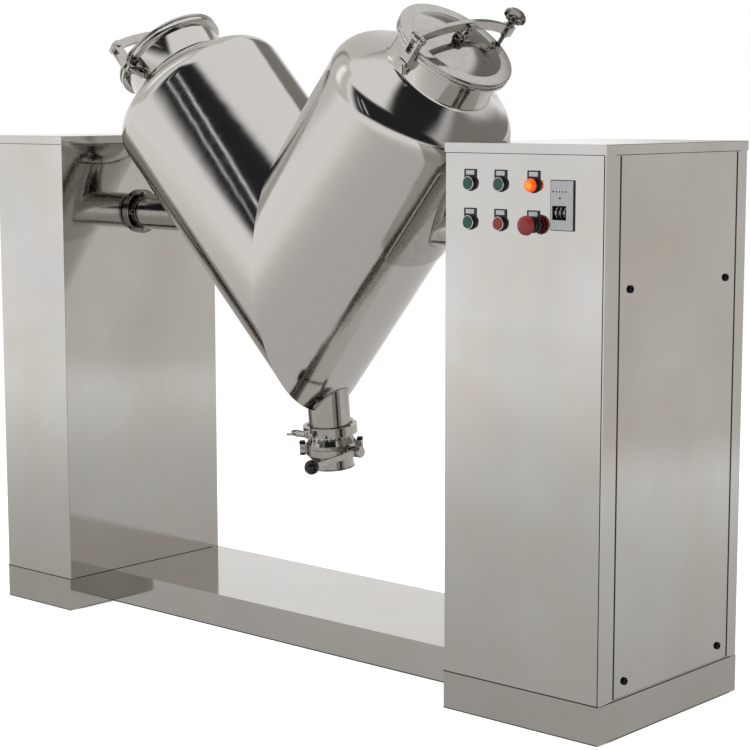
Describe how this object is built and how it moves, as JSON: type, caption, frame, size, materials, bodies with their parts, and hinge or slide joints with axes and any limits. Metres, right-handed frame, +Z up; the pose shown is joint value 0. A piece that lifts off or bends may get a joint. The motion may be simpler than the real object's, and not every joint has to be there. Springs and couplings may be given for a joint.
{
  "type": "v-blender",
  "caption": "V-shaped tumbling blender: mitred stainless tank on a shaft between two cabinets, with lidded necks, an outlet valve and a button panel.",
  "frame": {"origin": "on the floor, midway between the cabinets' outer sides, below the shaft axis", "axes": "+X towards the drive cabinet, +Y to the back, +Z up; the panel faces -Y"},
  "size_m": [1.887, 0.5565, 1.4971],
  "materials": {
    "satin_sheet": "hairline stainless sheet with a semi-mirror sheen",
    "polished_steel": "mirror-polished stainless steel",
    "fitting_steel": "polished stainless castings and bars",
    "turned_steel": "turned steel",
    "bolt_steel": "bright hexagon bolts",
    "black_steel": "blackened steel",
    "frame_paint": "grey primer on welded tube",
    "drive_paint": "blue machine enamel",
    "grey_casting": "painted grey iron",
    "bronze": "machined bronze",
    "device_grey": "zinc-plated plate and grey devices",
    "black_moulding": "black moulded plastic",
    "black_gloss": "glossy black phenolic",
    "green_moulding": "green cap",
    "red_moulding": "red cap",
    "orange_lens": "orange lens, lit",
    "white_moulding": "white digit wheel",
    "seal_rubber": "food-grade elastomer"
  },
  "bodies": {
    "frame": {"beam_cladding": "satin_sheet", "left_plinth": "satin_sheet", "right_plinth": "satin_sheet", "left_cabinet": "satin_sheet", "right_cabinet": "satin_sheet", "left_cabinet_top": "satin_sheet", "right_cabinet_top": "satin_sheet", "access_door": "satin_sheet", "base_frame": "frame_paint", "door_screws": "black_steel", "support_posts": "frame_paint", "bearing_housings": "grey_casting", "shaft_covers": "turned_steel", "flange_bolts": "bolt_steel", "reducer_housing": "drive_paint", "motor": "drive_paint", "electrical_plate": "device_grey", "button_bodies": "black_moulding", "legend_plates": "black_moulding", "pilot_lens": "orange_lens", "timer_case": "black_moulding"},
    "tank": {"left_barrel": "polished_steel", "left_crown": "polished_steel", "left_neck": "polished_steel", "left_trunnion": "polished_steel", "left_lid_brackets": "fitting_steel", "right_barrel": "polished_steel", "right_crown": "polished_steel", "right_neck": "polished_steel", "right_trunnion": "polished_steel", "right_lid_brackets": "fitting_steel", "seals": "seal_rubber", "outlet_tube": "polished_steel", "outlet_clamp": "fitting_steel", "valve_body": "fitting_steel", "valve_bolts": "black_steel", "drive_shaft": "turned_steel", "idle_shaft": "turned_steel", "bearing_inserts": "turned_steel", "output_sleeve": "bronze"},
    "valve": {"valve_disc": "fitting_steel", "valve_lever": "fitting_steel", "lever_ball": "black_gloss"},
    "wing_nut": {"wing_nut": "fitting_steel"},
    "lid_left": {"left_lid": "polished_steel", "left_bow_arm": "fitting_steel"},
    "knob_left": {"left_lid_knob": "fitting_steel"},
    "lid_right": {"right_lid": "polished_steel", "right_bow_arm": "fitting_steel"},
    "knob_right": {"right_lid_knob": "fitting_steel"},
    "green_button_1": {"green_button_1": "green_moulding"},
    "timer_wheel_1": {"timer_wheel_1": "white_moulding"},
    "green_button_2": {"green_button_2": "green_moulding"},
    "timer_wheel_2": {"timer_wheel_2": "white_moulding"},
    "green_button_3": {"green_button_3": "green_moulding"},
    "timer_wheel_3": {"timer_wheel_3": "white_moulding"},
    "red_button": {"red_button": "red_moulding"},
    "stop_stem": {"stop_stem": "black_moulding"},
    "stop_cap": {"stop_cap": "red_moulding"}
  },
  "joints": [
    {"name": "tank_spin", "type": "hinge", "parent": "frame", "child": "tank", "pos_m": [-0.075, 0, 1.005], "axis": [1, 0, 0], "continuous": true},
    {"name": "valve_turn", "type": "hinge", "parent": "tank", "child": "valve", "pos_m": [-0.075, 0.05435, 0.45066], "axis": [1, 0, 0], "range_deg": [0, 90]},
    {"name": "wing_nut_turn", "type": "hinge", "parent": "tank", "child": "wing_nut", "pos_m": [-0.105, -0.02407, 0.4922], "axis": [1, 0, 0], "continuous": true},
    {"name": "lid_left_open", "type": "hinge", "parent": "tank", "child": "lid_left", "pos_m": [-0.55782, -0.1909, 1.41485], "axis": [-0.7524, 0.0643, -0.6555], "range_deg": [-100, 0]},
    {"name": "knob_left_turn", "type": "hinge", "parent": "lid_left", "child": "knob_left", "pos_m": [-0.5756, 0.11563, 1.46532], "axis": [-0.6587, -0.0734, 0.7488], "range_deg": [0, 90]},
    {"name": "lid_right_open", "type": "hinge", "parent": "tank", "child": "lid_right", "pos_m": [0.40782, -0.1909, 1.41485], "axis": [-0.7524, -0.0643, 0.6555], "range_deg": [-100, 0]},
    {"name": "knob_right_turn", "type": "hinge", "parent": "lid_right", "child": "knob_right", "pos_m": [0.4256, 0.11563, 1.46532], "axis": [0.6587, -0.0734, 0.7488], "range_deg": [0, 90]},
    {"name": "green_button_1_press", "type": "slide", "parent": "frame", "child": "green_button_1", "axis": [0, 1, 0], "range_m": [0, 0.004], "stiffness_N_per_m": 400},
    {"name": "green_button_2_press", "type": "slide", "parent": "frame", "child": "green_button_2", "axis": [0, 1, 0], "range_m": [0, 0.004], "stiffness_N_per_m": 400},
    {"name": "green_button_3_press", "type": "slide", "parent": "frame", "child": "green_button_3", "axis": [0, 1, 0], "range_m": [0, 0.004], "stiffness_N_per_m": 400},
    {"name": "red_button_press", "type": "slide", "parent": "frame", "child": "red_button", "axis": [0, 1, 0], "range_m": [0, 0.004], "stiffness_N_per_m": 400},
    {"name": "stop_press", "type": "slide", "parent": "frame", "child": "stop_stem", "axis": [0, 1, 0], "range_m": [0, 0.005]},
    {"name": "stop_twist", "type": "hinge", "parent": "stop_stem", "child": "stop_cap", "pos_m": [0.768, -0.28, 1.039], "axis": [0, 1, 0], "range_deg": [0, 40], "stiffness_Nm_per_rad": 0.05},
    {"name": "timer_wheel_1_turn", "type": "hinge", "parent": "frame", "child": "timer_wheel_1", "pos_m": [0.823, -0.2484, 1.065], "axis": [1, 0, 0], "continuous": true},
    {"name": "timer_wheel_2_turn", "type": "hinge", "parent": "frame", "child": "timer_wheel_2", "pos_m": [0.833, -0.2484, 1.065], "axis": [1, 0, 0], "continuous": true},
    {"name": "timer_wheel_3_turn", "type": "hinge", "parent": "frame", "child": "timer_wheel_3", "pos_m": [0.843, -0.2484, 1.065], "axis": [1, 0, 0], "continuous": true}
  ]
}
